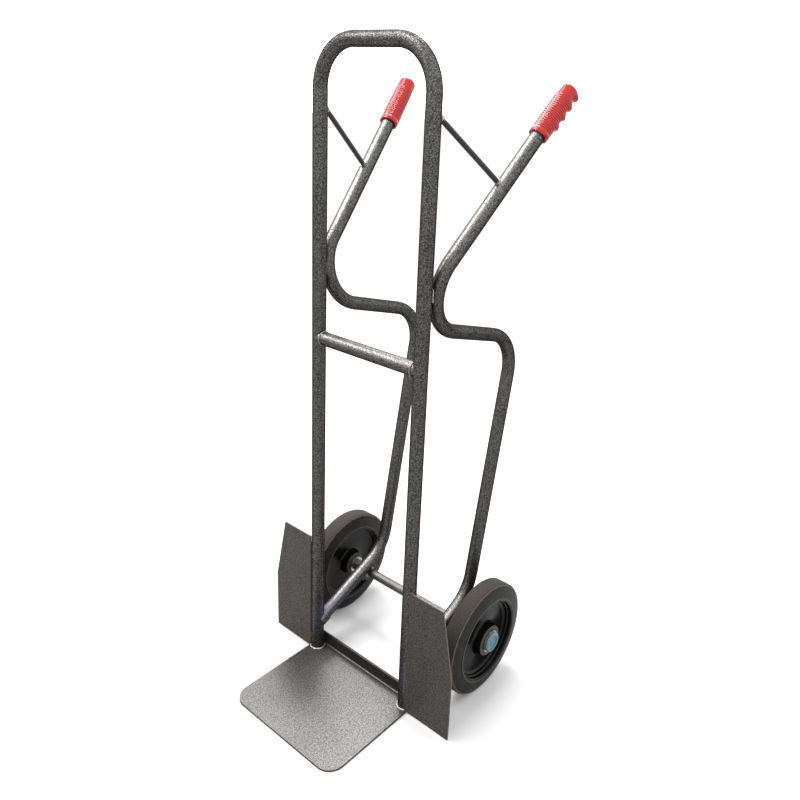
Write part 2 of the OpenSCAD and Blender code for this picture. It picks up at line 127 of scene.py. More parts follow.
# ---- grip: heights from its open end and radii, in mm ----
GRIP_SEGMENTS = 48
MOUTH_H, MOUTH_R, MOUTH_LIP, MOUTH_DEPTH = 1.0, 19.0, 3.0, 4
COLLAR = ((2.2, 19.5), (9.4, 19.6), (10.4, 18.7))
RIBS_FROM, RIBS_TO = 11.0, 89.5
RIB_FOOT_R, RIB_BULGE, RIB_TAPER = 18.6, 0.3, 0.7
RIB_STEPS = ((0.22, 0), (0.42, 1), (0.72, 1), (0.92, 0))  # share of the pitch, of the height
PLAIN_FROM, PLAIN_STEP, PLAIN_RINGS, PLAIN_R = 90.5, 2.5, 9, 18.2
CLOSED_END = ((112.6, 17.6), (114.6, 16.2), (115.7, 14.0), (116.0, 10.0))
# Finger ridges: where they start and stop, how each rises and falls, how far it reaches
FIRST_RIDGE, LAST_RING, RIDGE_PITCH = 26.0, 112.5, 23.5
RIDGE_RISE, RIDGE_FALL = 8.5, 13.5
RIDGE_R, VALLEY_DEPTH = 25.2, 0.5
RIDGE_BANDS = (72, 56, 42, 28)  # degrees to each side of the ridge's middle
RIDGE_TURN = math.radians(37)

# ---- weld beads: sizes in mm ----
RIPPLES = 26
RIPPLE_PARTS = 3
BEAD_SEGMENTS = 10
PINCH = (0.985, 0.985, 0.66)
FOOT_BEAD_LIFT, FOOT_BEAD_OUT, FOOT_BEAD_R = 1.2, 1.2, 2.4
BAR_BEAD_BACK, BAR_BEAD_OUT, BAR_BEAD_R = 0.5, 0.3, 1.6

# ---- where finishes begin and end, in metres ----
HEAT_HEIGHT = 0.088
HEAT_FADE = (0.055, 0.015)
HEAT_WOBBLE = 0.03
# height where the painted shade on the toe plate's upright flange begins
FLANGE_SHADE_FROM = PLATE_TOP + 2.5 * MM
FLANGE_SHADE_FADE = 0.004
TREAD_FADE = mm(6.8, 2.2)  # below the tyre's radius
BORDER_DEPTH = 3.5 * MM
BORDER_FADE = mm(2.4, 0.6)
UNEVEN_BROAD, UNEVEN_FINE = mm(7, 4)
# radius of the painted highlight line on the tyre at the rim's lip
LIP_HIGHLIGHT_R = 93.6 * MM
LIP_HIGHLIGHT_FADE = mm(1.2, 0.4)
HUB_FACE_FADE = mm(35.0, 33.8)
HUB_END_FADE = mm(23.5, 25.0)
CAP_EDGE_FADE = mm(18.2, 19.5)

# Lighter paint on the upper sides of the arms, lower legs and cross bar, so that they look
# brightly lit: the height in metres where it begins, where it is full, and its strength
BRIGHTER = 1.9
ARM_LIGHT = (0.93, 1.02, 0.9)
LEG_LIGHT = (0.20, 0.15, 0.75)
BAR_LIGHT = (0.60, 0.62, 0.45)

# ---- fixed colours ----
EDGE_TINT = (0.06, 0.06, 0.06, 1)  # keeps the paint's grazing reflections dark
# painted highlight on the guard plates' thin cut edges
PAINTED_EDGE_HIGHLIGHT = (0.40, 0.385, 0.37, 1)
# painted shade on the toe plate's upright flange
FLANGE_SHADE = (0.018, 0.016, 0.015, 1)
HEAT_TINTS = (
    (0.3, (0.11, 0.09, 0.15, 1)),
    (0.5, (0.09, 0.10, 0.17, 1)),
    (0.7, (0.13, 0.11, 0.12, 1)),
)
BURNT = (0.10, 0.085, 0.08, 1)
DULL_WELD = (0.17, 0.165, 0.16, 1)
ROD_WEAR = (0.035, 0.033, 0.031, 1)
BARE_STEEL = (0.105, 0.100, 0.095, 1)
ZINC = (0.36, 0.37, 0.36, 1)
BEARING_STEEL = (0.55, 0.55, 0.57, 1)
CAGE = (0.62, 0.58, 0.48, 1)
RUBBER_GRIME = (0.012, 0.010, 0.009, 1)
TREAD_BORDER = (0.10, 0.09, 0.08, 1)
WALL_SCUFF = (0.016, 0.014, 0.013, 1)
# painted highlight line on the tyre at the rim's lip
LIP_HIGHLIGHT = (0.07, 0.066, 0.062, 1)
RIM_DUST = (0.008, 0.007, 0.0065, 1)
HUB_DUST = (0.034, 0.030, 0.027, 1)
CAP_FADED = (0.05, 0.145, 0.185, 1)
CAP_EDGE = (0.10, 0.105, 0.105, 1)
GRIP_RUBBED = (0.135, 0.002, 0.003, 1)
WHITE = (1, 1, 1, 1)

# ---- stage ----
FLOOR_SIZE = 60
CAMERA_PLACE = (0.9527, -0.9963, 1.2417)
CAMERA_TURN = (71.626, -2.926, 39.599)  # tilt, roll and heading in degrees
FRAMING_SHIFT = (-0.0391, -0.0686)
SENSOR_WIDTH = 36.0
NEAREST, FARTHEST = 0.05, 200
LAMP_TARGET = (0, 0, 0.6)
LAMPS = (  # name, place, size, the setting that it follows, its share of that setting
    ("Key", (-0.9, -0.7, 3.1), 1.3, "key", 1.0),
    ("Left", (-1.9, -1.2, 2.6), 0.6, "key", 0.5),
    ("Behind", (-1.45, 1.25, 3.0), 0.9, "fill", 3.2),
    ("Top", (-0.4, 1.1, 3.4), 0.7, "fill", 3.0),
)

# ---- modelling limits ----
FACING = 0.9  # a normal this far along a direction faces that way
SAME_LEVEL = 1e-6
SAME_POINT = 1e-6


# ---- sizes and colours a user may change ----
def colour(name, text, default):
    return bpy.props.FloatVectorProperty(
        name=name, description=text, subtype="COLOR", size=4,
        min=0, max=1, default=(*default, 1),
    )


def length(name, text, default):
    return bpy.props.FloatProperty(
        name=name, description=text, default=default, min=0,
        subtype="DISTANCE", unit="LENGTH", precision=5,
    )


def watts(name, text, default):
    return bpy.props.FloatProperty(
        name=name, description=text, default=default, min=0, unit="POWER",
    )


class PaintSettings(bpy.types.PropertyGroup):
    """Hammered paint, bare metal and weld colours."""

    tube_dark: colour("Tube dark", "Paint in the hammer pattern's hollows", (0.017, 0.0160, 0.0153))
    tube_light: colour("Tube light", "Paint on the hammer pattern's flecks", (0.118, 0.114, 0.111))
    plate_dark: colour("Plate dark", "Toe plate's darker paint", (0.046, 0.0435, 0.0415))
    plate_light: colour("Plate light", "Toe plate's flecks", (0.126, 0.123, 0.120))
    guard_dark: colour("Guard dark", "Guard's darker paint", (0.018, 0.016, 0.015))
    guard_light: colour("Guard light", "Guard's flecks", (0.072, 0.066, 0.062))
    rod: colour("Brace rod", "Dark rod paint", (0.020, 0.019, 0.019))
    fleck: length("Fleck size", "Width of one fleck of the hammer pattern", 0.0019)
    weld: colour("Weld", "Bare weld bead", (0.27, 0.265, 0.255))


class WheelSettings(bpy.types.PropertyGroup):
    """Tyre, rim and cap."""

    tread: colour("Tread dust", "Dusty rubber on the tread", (0.026, 0.0225, 0.020))
    wall: colour("Sidewall", "Clean rubber", (0.0042, 0.0038, 0.0035))
    rim: colour("Rim", "Black plastic", (0.0015, 0.0014, 0.0013))
    cap: colour("Cap", "Blue cap", (0.022, 0.085, 0.120))


class GripSettings(bpy.types.PropertyGroup):
    """Grip colour and ribs."""

    red: colour("Red", "Grip material", (0.205, 0.0022, 0.0024))
    ribs: bpy.props.IntProperty(
        name="Ribs", description="Rings round the grip's middle", default=17, min=4, max=30,
    )
    rib_height: length("Rib height", "How far a ring stands out", 0.0009)


class StageSettings(bpy.types.PropertyGroup):
    """Floor, light and camera."""

    floor: colour("Floor", "Floor", (0.365, 0.365, 0.365))
    sky: bpy.props.FloatProperty(
        name="Sky strength", description="Brightness all round", default=2.8, min=0, max=20,
        subtype="FACTOR",
    )
    key: watts("Key light", "Main softbox power", 88.0)
    fill: watts("Fill light", "Power of the softboxes behind and above", 24.0)
    lens: bpy.props.FloatProperty(
        name="Lens", description="Camera lens in mm", default=34.04, min=10, max=200,
    )


class HandTruckSettings(bpy.types.PropertyGroup):
    """All of the hand truck's looks."""

    paint: bpy.props.PointerProperty(
        type=PaintSettings, name="Paint", description="Paint and metal",
    )
    wheel: bpy.props.PointerProperty(type=WheelSettings, name="Wheels", description="Wheels")
    grip: bpy.props.PointerProperty(type=GripSettings, name="Grips", description="Grips")
    stage: bpy.props.PointerProperty(type=StageSettings, name="Stage", description="Stage")


def settings():
    return bpy.context.scene.hand_truck


# ---- shader maths ----
class Signal:
    """A shader socket that can be added, subtracted and multiplied like a number."""

    def __init__(self, tree, socket):
        self.tree = tree
        self.socket = socket

    def _math(self, operation, *values):
        node = self.tree.nodes.new("ShaderNodeMath")
        node.operation = operation
        for slot, value in zip(node.inputs, values, strict=False):
            if isinstance(value, Signal):
                self.tree.links.new(value.socket, slot)
            else:
                slot.default_value = value
        return Signal(self.tree, node.outputs[0])

    def __add__(self, other):
        return self._math("ADD", self, other)

    __radd__ = __add__

    def __sub__(self, other):
        return self._math("SUBTRACT", self, other)

    def __rsub__(self, other):
        return self._math("SUBTRACT", other, self)

    def __mul__(self, other):
        return self._math("MULTIPLY", self, other)

    __rmul__ = __mul__

    def absolute(self):
        return self._math("ABSOLUTE", self)

    def root(self):
        return self._math("SQRT", self)


class Finish:
    """One material's node tree, with its Principled shader at the end."""

    # A Mix node's sockets for colours, by their place in its lists
    MIX_SHARE, MIX_LOW, MIX_HIGH, MIX_RESULT = 0, 6, 7, 2

    def __init__(self, name):
        self.material = bpy.data.materials.new(name)
        self.material.use_nodes = True
        self.tree = self.material.node_tree
        self.tree.nodes.clear()
        self.shader = self.tree.nodes.new("ShaderNodeBsdfPrincipled")
        out = self.tree.nodes.new("ShaderNodeOutputMaterial")
        self.tree.links.new(self.shader.outputs[0], out.inputs["Surface"])
        self.place = self.node("ShaderNodeTexCoord", output="Object")

    def set_socket(self, slot, value):
        if isinstance(value, Signal):
            self.tree.links.new(value.socket, slot)
        else:
            slot.default_value = value

    def node(self, kind, setup=None, inputs=None, output=0, stops=None):
        """A node of that type, its settings first, then its inputs; returns one output."""
        made = self.tree.nodes.new(kind)
        for key, value in (setup or {}).items():
            setattr(made, key, value)
        if stops:
            ramp = made.color_ramp
            while len(ramp.elements) < len(stops):
                ramp.elements.new(0.5)
            for element, (where, tint) in zip(ramp.elements, stops, strict=True):
                element.position = where
                element.color = tint
        for key, value in (inputs or {}).items():
            self.set_socket(made.inputs[key], value)
        return Signal(self.tree, made.outputs[output])

    def mix(self, low, high, share):
        """Two colours mixed by a share from 0 to 1."""
        return self.node(
            "ShaderNodeMix", {"data_type": "RGBA"},
            {self.MIX_SHARE: share, self.MIX_LOW: low, self.MIX_HIGH: high},
            output=self.MIX_RESULT,
        )

    def noise(self, size, detail=3.0, rough=0.5):
        return self.node(
            "ShaderNodeTexNoise", {"noise_dimensions": "3D"},
            {"Vector": self.place, "Scale": 1 / size, "Detail": detail, "Roughness": rough},
        )

    def cells(self, size):
        """Distance to the middle of the nearest cell."""
        return self.node(
            "ShaderNodeTexVoronoi", {"feature": "F1"},
            {"Vector": self.place, "Scale": 1 / size}, output="Distance",
        )

    def ramp(self, value, start, full):
        """0 at start and 1 at full, smooth between; start may be the larger one."""
        return self.node(
            "ShaderNodeMapRange", {"interpolation_type": "SMOOTHSTEP"},
            {"Value": value, "From Min": start, "From Max": full, "To Min": 0.0, "To Max": 1.0},
        )

    def axis(self, index, vector=None):
        return self.node("ShaderNodeSeparateXYZ", None, {0: vector or self.place}, output=index)

    def bump(self, height, strength, distance):
        return self.node(
            "ShaderNodeBump", None, {"Height": height, "Strength": strength, "Distance": distance},
        )

    def finish(self, **values):
        """Sets the Principled shader's sockets; returns the material."""
        for key, value in values.items():
            self.set_socket(self.shader.inputs[key.replace("_", " ")], value)
        return self.material


def shade(tone, share):
    """The same colour, darker below a share of 1 and lighter above it."""
    return tuple(min(1.0, part * share) for part in tone[:3]) + (1,)


# ---- finishes ----
def hammered_paint(name, dark, light, fleck, metal=0.9, rough=0.36, heat=False, edges=0.0,
                   shade_above=None, brighter=()):
    """Dark silver hammered paint: fine dimples that sparkle where the light strikes."""
    f = Finish(name)
    cell = f.cells(fleck * 1.7)
    fine = f.noise(fleck * 0.8, detail=2.0, rough=0.6)
    broad = f.noise(fleck * 24, detail=3.0, rough=0.55)
    flecks = f.ramp(fine + (0.5 - cell) * 0.3, 0.41, 0.67)
    base = f.mix(tuple(dark), tuple(light), flecks * 0.85 + broad * 0.15)
    height = f.axis(Z)
    # Painted highlight: the upper sides between the given heights are painted lighter, as if
    # brightly lit.
    if brighter:
        facing = f.node("ShaderNodeTexCoord", output="Normal")
        upper = f.ramp(f.axis(Z, facing) - f.axis(X, facing) * 0.6, -0.15, 0.75)
        pale = shade(light, BRIGHTER)
        for start, full, strength in brighter:
            share = f.ramp(height, start, full) * upper * strength
            base = f.mix(base, pale, share * (0.35 + flecks * 0.65))
    # Painted highlight: the thin cut edges, which do not face along Y, are painted lighter.
    if edges:
        facing = f.node("ShaderNodeTexCoord", output="Normal")
        thin = f.ramp(1 - f.axis(Y, facing).absolute(), 0.4, 0.7)
        base = f.mix(base, PAINTED_EDGE_HIGHLIGHT, thin * edges)
    # Painted shade: the toe plate's upright flange above the plate's top is painted darker.
    if shade_above:
        flange = f.ramp(height, shade_above, shade_above + FLANGE_SHADE_FADE)
        base = f.mix(base, FLANGE_SHADE, flange * 0.72)
    if heat:
        wobble = (f.noise(0.02, detail=2.0) - 0.5) * HEAT_WOBBLE
        band = f.ramp((height + wobble - HEAT_HEIGHT).absolute(), *HEAT_FADE)
        tint = f.node(
            "ShaderNodeValToRGB", None, {0: f.noise(0.022, detail=2.0)}, stops=HEAT_TINTS,
        )
        base = f.mix(base, tint, band * 0.22)
    dimples = cell * 0.8 + fine * 0.5
    return f.finish(
        Base_Color=base, Metallic=metal, Roughness=rough + broad * 0.06 - flecks * 0.04,
        Normal=f.bump(dimples, strength=0.6, distance=fleck * 0.24), Specular_Tint=EDGE_TINT,
    )


def turned_steel(name, tone, rough, grain=0.0004):
    """Bare or plated steel with fine turning marks and a little dirt."""
    f = Finish(name)
    dirt = f.noise(0.006, detail=4.0, rough=0.6)
    marks = f.noise(grain, detail=2.0, rough=0.5)
    base = f.mix(shade(tone, 0.55), tone, f.ramp(dirt, 0.3, 0.62))
    return f.finish(
        Base_Color=base, Metallic=1.0, Roughness=rough + dirt * 0.2,
        Normal=f.bump(marks, strength=0.12, distance=0.0001),
    )


def weld_metal(name, tone):
    """Bright uneven bead with darker burnt spots."""
    f = Finish(name)
    burnt = f.noise(0.004, detail=3.0, rough=0.6)
    base = f.mix(BURNT, tuple(tone), f.ramp(burnt, 0.36, 0.56))
    return f.finish(
        Base_Color=base, Metallic=0.9, Roughness=0.28 + burnt * 0.25,
        Normal=f.bump(f.noise(0.0016), strength=0.5, distance=0.0006),
    )


def rod_paint(name, tone):
    """Dull dark paint, worn paler in patches."""
    f = Finish(name)
    patch = f.noise(0.012, detail=4.0, rough=0.6)
    base = f.mix(tuple(tone), ROD_WEAR, f.ramp(patch, 0.5, 0.8) * 0.6)
    return f.finish(
        Base_Color=base, Metallic=0.3, Roughness=0.38 + patch * 0.2, Specular_IOR_Level=0.15,
        Normal=f.bump(f.noise(0.0012, detail=2.0), strength=0.25, distance=0.0002),
    )


def from_axle(f):
    """Distance from the axle's line, and distance across the truck."""
    y = f.axis(Y) - AXLE.y
    z = f.axis(Z) - AXLE.z
    return (y * y + z * z).root(), f.axis(X).absolute()


def tyre_rubber(name, dusty, clean):
    """Dusty tread with a worn border, dark sidewall and a painted highlight line at the lip."""
    f = Finish(name)
    radius, _ = from_axle(f)
    broad = f.noise(0.009, detail=4.0, rough=0.65) - 0.5
    fine = f.noise(0.0025, detail=3.0, rough=0.6) - 0.5
    uneven = broad * UNEVEN_BROAD + fine * UNEVEN_FINE
    tread = f.ramp(radius + uneven, *(WHEEL_R - depth for depth in TREAD_FADE))
    scuffs = f.ramp(f.noise(0.018, detail=5.0, rough=0.7), 0.50, 0.72)
    grime = f.noise(0.003, detail=4.0, rough=0.7)
    dust = f.mix(shade(dusty, 0.62), tuple(dusty), f.ramp(grime, 0.32, 0.66))
    stains = f.ramp(f.noise(0.011, detail=4.0, rough=0.75), 0.58, 0.74)
    dust = f.mix(dust, RUBBER_GRIME, stains * 0.6)
    from_border = (radius + uneven * 0.5 - (WHEEL_R - BORDER_DEPTH)).absolute()
    dust = f.mix(dust, TREAD_BORDER, f.ramp(from_border, *BORDER_FADE) * 0.5)
    wall = f.mix(tuple(clean), WALL_SCUFF, scuffs * 0.7)
    base = f.mix(wall, dust, tread)
    # Painted highlight: a lighter line on the rubber just outside the rim's lip.
    lip = f.ramp((radius - LIP_HIGHLIGHT_R).absolute(), *LIP_HIGHLIGHT_FADE)
    base = f.mix(base, LIP_HIGHLIGHT, lip * 0.6)
    pores = f.noise(0.0011, detail=4.0, rough=0.6) + grime * 0.5
    return f.finish(
        Base_Color=base, Roughness=0.45 + tread * 0.40 + grime * 0.1,
        Normal=f.bump(pores, strength=0.3, distance=0.0003), Specular_IOR_Level=0.12,
    )


def rim_plastic(name, black):
    """Glossy black rim; the hub's end faces are a dusty brown-grey."""
    f = Finish(name)
    radius, across = from_axle(f)
    hub_end = f.ramp((across - WHEEL.x).absolute(), *HUB_END_FADE)
    hub = f.ramp(radius, *HUB_FACE_FADE) * hub_end
    dirt = f.noise(0.007, detail=4.0, rough=0.65)
    base = f.mix(tuple(black), RIM_DUST, f.ramp(dirt, 0.5, 0.78) * 0.5)
    base = f.mix(base, HUB_DUST, hub * (0.6 + dirt * 0.5))
    return f.finish(
        Base_Color=base, Roughness=0.13 + dirt * 0.14 + hub * 0.3,
        Normal=f.bump(dirt, strength=0.08, distance=0.0006), Specular_IOR_Level=0.10,
    )


def cap_paint(name, blue):
    """Blue paint, faded in patches and worn grey round its edge."""
    f = Finish(name)
    patch = f.noise(0.008, detail=3.0, rough=0.6)
    base = f.mix(tuple(blue), CAP_FADED, f.ramp(patch, 0.42, 0.72) * 0.5)
    radius, _ = from_axle(f)
    base = f.mix(base, CAP_EDGE, f.ramp(radius, *CAP_EDGE_FADE) * 0.7)
    return f.finish(
        Base_Color=base, Metallic=0.4, Roughness=0.24 + patch * 0.15, Specular_IOR_Level=0.2,
        Normal=f.bump(patch, strength=0.08, distance=0.0004),
    )


def grip_red(name, red):
    """Red moulded grip, a touch darker where hands rub it."""
    f = Finish(name)
    rub = f.noise(0.012, detail=4.0, rough=0.6)
    base = f.mix(tuple(red), GRIP_RUBBED, f.ramp(rub, 0.50, 0.80) * 0.5)
    return f.finish(
        Base_Color=base, Roughness=0.14 + rub * 0.10,
        Normal=f.bump(f.noise(0.0009, detail=2.0), strength=0.03, distance=0.0001),
        Specular_IOR_Level=0.09, Coat_Weight=0.3, Coat_Roughness=0.07,
    )


def plain_plastic(name, tone, rough):
    """Moulded plastic with a fine grain."""
    f = Finish(name)
    grain = f.noise(0.002, detail=3.0, rough=0.6)
    base = f.mix(shade(tone, 0.8), tone, grain)
    return f.finish(
        Base_Color=base, Roughness=rough, Normal=f.bump(grain, strength=0.1, distance=0.0002),
    )


def stage_finish(name, tone):
    """Plain dull floor, very slightly uneven."""
    f = Finish(name)
    base = f.mix(shade(tone, 0.985), tuple(tone), f.noise(1.5, detail=2.0))
    return f.finish(Base_Color=base, Roughness=0.9, Specular_IOR_Level=0.1)


# ---- modelling ----
def deselect():
    if bpy.context.object and bpy.context.object.mode != "OBJECT":
        bpy.ops.object.mode_set(mode="OBJECT")
    bpy.ops.object.select_all(action="DESELECT")


def only(obj):
    deselect()
    bpy.context.view_layer.objects.active = obj
    obj.select_set(True)


def settled(obj):
    """Puts the object's place, turn and scale into its mesh."""
    only(obj)
    bpy.ops.object.transform_apply(location=True, rotation=True, scale=True)


def started(name):
    """Names the primitive just added and settles it."""
    obj = bpy.context.object
    obj.name = obj.data.name = name
    settled(obj)
    return obj


def pick(obj, test, kind="FACE"):
    """In edit mode, selects only the faces or vertices that pass the test."""
    bpy.ops.mesh.select_mode(type=kind)
    bpy.ops.mesh.select_all(action="DESELECT")
    mesh = bmesh.from_edit_mesh(obj.data)
    chosen = [item for item in (mesh.faces if kind == "FACE" else mesh.verts) if test(item)]
    if not chosen:
        raise RuntimeError(f"{obj.name}: nothing to select")
    for item in chosen:
        item.select_set(True)
    mesh.select_flush_mode()
    bmesh.update_edit_mesh(obj.data)


def bevelled(obj, width, angle, segments=2):
    only(obj)
    rounded = obj.modifiers.new("Round", "BEVEL")
    rounded.limit_method = "ANGLE"
    rounded.angle_limit = math.radians(angle)
    rounded.width = width
    rounded.segments = segments
    rounded.use_clamp_overlap = True
    bpy.ops.object.modifier_apply(modifier=rounded.name)


def smooth(obj, angle=35):
    only(obj)
    bpy.ops.object.shade_smooth_by_angle(angle=math.radians(angle))


def outwards(obj):
    """Merges doubles and points every face outwards."""
    only(obj)
    bpy.ops.object.mode_set(mode="EDIT")
    bpy.ops.mesh.select_all(action="SELECT")
    bpy.ops.mesh.remove_doubles(threshold=SAME_POINT)
    bpy.ops.mesh.normals_make_consistent(inside=False)
    bpy.ops.object.mode_set(mode="OBJECT")


def mirrored(obj):
    """The left twin of a right piece, with a mesh of its own."""
    name = obj.name.replace("right", "left")
    only(obj)
    bpy.ops.object.duplicate()
    twin = bpy.context.object
    twin.name = twin.data.name = name
    twin.scale = (-1, 1, 1)
    bpy.ops.object.transform_apply(location=False, rotation=False, scale=True)
    outwards(twin)
    return twin


def dress(obj, material, body, slot, *nodes):
    """Gives a piece its material and body, and hides the CAD nodes that it stands for. The slot is
    not used.
    """
    obj.data.materials.clear()
    obj.data.materials.append(material)
    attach(obj, body)
    if nodes:
        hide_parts(*nodes)


def turned(name, centre, radius, half, outer, inner, open_bore, segments):
    """A turned piece across the truck. Each end face is drawn out step by step to the
    listed (radius, distance from the centre); an open bore joins the two end faces."""
    deselect()
    bpy.ops.mesh.primitive_cylinder_add(
        vertices=segments, radius=radius, depth=2 * half, location=centre,
        rotation=(0, math.pi / 2, 0),
    )
    obj = started(name)
    bpy.ops.object.mode_set(mode="EDIT")
    for way, steps in ((1, outer), (-1, inner)):
        reach = half
        size = radius
        pick(obj, lambda f, w=way: f.normal.x * w > FACING and len(f.verts) == segments)
        for new_size, new_reach in steps:
            bpy.ops.mesh.extrude_region_move(
                TRANSFORM_OT_translate={"value": ((new_reach - reach) * way, 0, 0)}
            )
            scale = new_size / size
            bpy.ops.transform.resize(value=(1, scale, scale), center_override=tuple(centre))
            reach, size = new_reach, new_size
    if open_bore:
        pick(obj, lambda f: len(f.verts) == segments)
        bpy.ops.mesh.delete(type="ONLY_FACE")
        bpy.ops.mesh.select_mode(type="EDGE")
        bpy.ops.mesh.select_all(action="DESELECT")
        bpy.ops.mesh.select_non_manifold()
        bpy.ops.mesh.bridge_edge_loops()
    bpy.ops.object.mode_set(mode="OBJECT")
    outwards(obj)
    return obj


def profile(*pairs):
    return [mm(*pair) for pair in pairs]


def build_wheels():
    """Tyres, rims and caps, turned once for the right side and mirrored."""
    look = settings().wheel
    rubber = tyre_rubber("Tyre rubber", look.tread, look.wall)
    black = rim_plastic("Rim plastic", look.rim)
    blue = cap_paint("Cap paint", look.cap)
    wall = profile(*SIDEWALL)
    tyre = turned(
        "tyre_right", WHEEL, WHEEL_R, TYRE_HALF * MM, wall, wall, True, WHEEL_SEGMENTS,
    )
    smooth(tyre, 40)
    rim = turned(
        "rim_right", WHEEL, RIM_R * MM, RIM_HALF * MM, profile(*RIM_LIP, *HUB_OUTSIDE),
        profile(*RIM_LIP, *HUB_INSIDE), True, WHEEL_SEGMENTS,
    )
    bevelled(rim, 0.5 * MM, 32)
    smooth(rim, 32)
    low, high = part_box("right_axle_cap")
    half = (high.x - low.x) / 2
    face = [(radius * MM, half - depth * MM) for radius, depth in CAP_FACE]
    back = [(CAP_BACK_R * MM, half)]
    cap = turned(
        "cap_right", (low + high) / 2, CAP_R * MM, half - CAP_EDGE_DEPTH * MM, face, back,
        False, CAP_SEGMENTS,
    )
    smooth(cap, 40)
    for right, material, body, slot, node in (
        (tyre, rubber, "wheel", "tyre", "tyre"),
        (rim, black, "wheel", "rim_black", "rim"),
        (cap, blue, None, "cap_blue", "axle_cap"),
    ):
        left = mirrored(right)
        smooth(left)
        for side, piece in (("right", right), ("left", left)):
            dress(piece, material, f"{side}_{body}" if body else "frame", slot, f"{side}_{node}")


def grip_levels(look):
    """Heights and radii of the grip's rings, from its open end, in mm."""
    levels = list(COLLAR)
    pitch = (RIBS_TO - RIBS_FROM) / look.ribs
    rib = look.rib_height / MM
    for i in range(look.ribs):
        z = RIBS_FROM + i * pitch
        bulge = RIB_BULGE * math.sin(math.pi * (i + 0.5) / look.ribs)
        r = RIB_FOOT_R + bulge - RIB_TAPER * i / look.ribs
        levels += [(z + pitch * along, r + rib * out) for along, out in RIB_STEPS]
    levels += [(PLAIN_FROM + PLAIN_STEP * i, PLAIN_R) for i in range(PLAIN_RINGS)]
    return levels + list(CLOSED_END)


def ridge_reach(z):
    """How far out a finger ridge is at that height: 0 in a valley, 1 at its tip."""
    step = (z - FIRST_RIDGE) / RIDGE_PITCH
    part = (step - math.floor(step)) * RIDGE_PITCH
    if part < RIDGE_RISE:
        return part / RIDGE_RISE
    return min(1.0, (RIDGE_PITCH - part) / RIDGE_FALL)


def pull_ridges(grip, levels):
    """Pulls four ridges out of the grip's side, each leaning towards the open end. Every
    ring is pulled in four steps, each on a narrower band, so that the ridge is round."""
    ridge = Vector((math.sin(RIDGE_TURN), math.cos(RIDGE_TURN), 0))
    for z, r in levels:
        if z < FIRST_RIDGE or z > LAST_RING:
            continue
        pull = ((RIDGE_R - r) * ridge_reach(z) - VALLEY_DEPTH) * MM
        for turn in RIDGE_BANDS:
            limit = math.cos(math.radians(turn))
            pick(
                grip,
                lambda v, level=z * MM, least=limit: (
                    abs(v.co.z - level) < SAME_LEVEL
                    and v.co.xy.normalized().dot(ridge.xy) > least
                ),
                "VERT",
            )
            bpy.ops.transform.translate(value=ridge * (pull / len(RIDGE_BANDS)))


def build_grips():
    """The right grip, grown ring by ring from a short cylinder, and its left twin."""
    look = settings().grip
    red = grip_red("Grip red", look.red)
    deselect()
    bpy.ops.mesh.primitive_cylinder_add(
        vertices=GRIP_SEGMENTS, radius=MOUTH_R * MM, depth=MOUTH_H * MM,
        location=(0, 0, MOUTH_H / 2 * MM),
    )
    grip = started("grip_right")
    levels = grip_levels(look)
    bpy.ops.object.mode_set(mode="EDIT")
    height, size = MOUTH_H, MOUTH_R
    pick(grip, lambda f: f.normal.z > FACING)
    for z, r in levels:
        bpy.ops.mesh.extrude_region_move(
            TRANSFORM_OT_translate={"value": (0, 0, (z - height) * MM)}
        )
        bpy.ops.transform.resize(value=(r / size, r / size, 1), center_override=(0, 0, 0))
        height, size = z, r
    # mouth: a shallow recess round the tube
    pick(grip, lambda f: f.normal.z < -FACING)
    bpy.ops.mesh.inset(thickness=MOUTH_LIP * MM, depth=0)
    bpy.ops.mesh.extrude_region_move(
        TRANSFORM_OT_translate={"value": (0, 0, MOUTH_DEPTH * MM)}
    )
    pull_ridges(grip, levels)
    bpy.ops.object.mode_set(mode="OBJECT")
    grip.matrix_world = ARM @ Matrix.Translation((0, 0, GRIP_START))
    settled(grip)
    outwards(grip)
    smooth(grip, 50)
    left = mirrored(grip)
    smooth(left, 50)
    for side, piece in (("right", grip), ("left", left)):
        dress(piece, red, "frame", "grip_red", f"{side}_grip")


def ring_bead(name, place, direction, major, minor):
    """A weld bead round a tube: a torus with a pinched section between its ripples."""
    deselect()
    sections = RIPPLES * RIPPLE_PARTS
    bpy.ops.mesh.primitive_torus_add(
        major_segments=sections, minor_segments=BEAD_SEGMENTS, location=(0, 0, 0),
        major_radius=major, minor_radius=minor,
    )
    obj = started(name)
    bpy.ops.object.mode_set(mode="EDIT")
    one = 2 * math.pi / sections
    pick(obj, lambda v: round(math.atan2(v.co.y, v.co.x) / one) % RIPPLE_PARTS == 0, "VERT")
    bpy.ops.transform.resize(value=PINCH, center_override=(0, 0, 0))
    bpy.ops.object.mode_set(mode="OBJECT")
    obj.rotation_euler = Vector((0, 0, 1)).rotation_difference(Vector(direction)).to_euler()
    obj.location = place
    settled(obj)
    smooth(obj, 60)
    return obj


def build_welds():
    """Rippled rings round the uprights' feet and the cross bar's ends."""
    bright = bpy.data.materials["Weld bead"]
    dull = weld_metal("Dull weld bead", DULL_WELD)
    foot = ring_bead(
        "foot_weld_right", (UPRIGHT_X, 0, PLATE_TOP + FOOT_BEAD_LIFT * MM), (0, 0, 1),
        TUBE_R + FOOT_BEAD_OUT * MM, FOOT_BEAD_R * MM,
    )
    bar_end = (UPRIGHT_X - TUBE_R - BAR_BEAD_BACK * MM, 0, centre_of("cross_bar").z)
    bar = ring_bead(
        "cross_bar_weld_right", bar_end, (1, 0, 0),
        TUBE_R + BAR_BEAD_OUT * MM, BAR_BEAD_R * MM,
    )
    for right, node, material in ((foot, "foot_welds", bright), (bar, "cross_bar_welds", dull)):
        left = mirrored(right)
        smooth(left, 60)
        dress(right, material, "frame", "weld", node)
        dress(left, material, "frame", "weld")


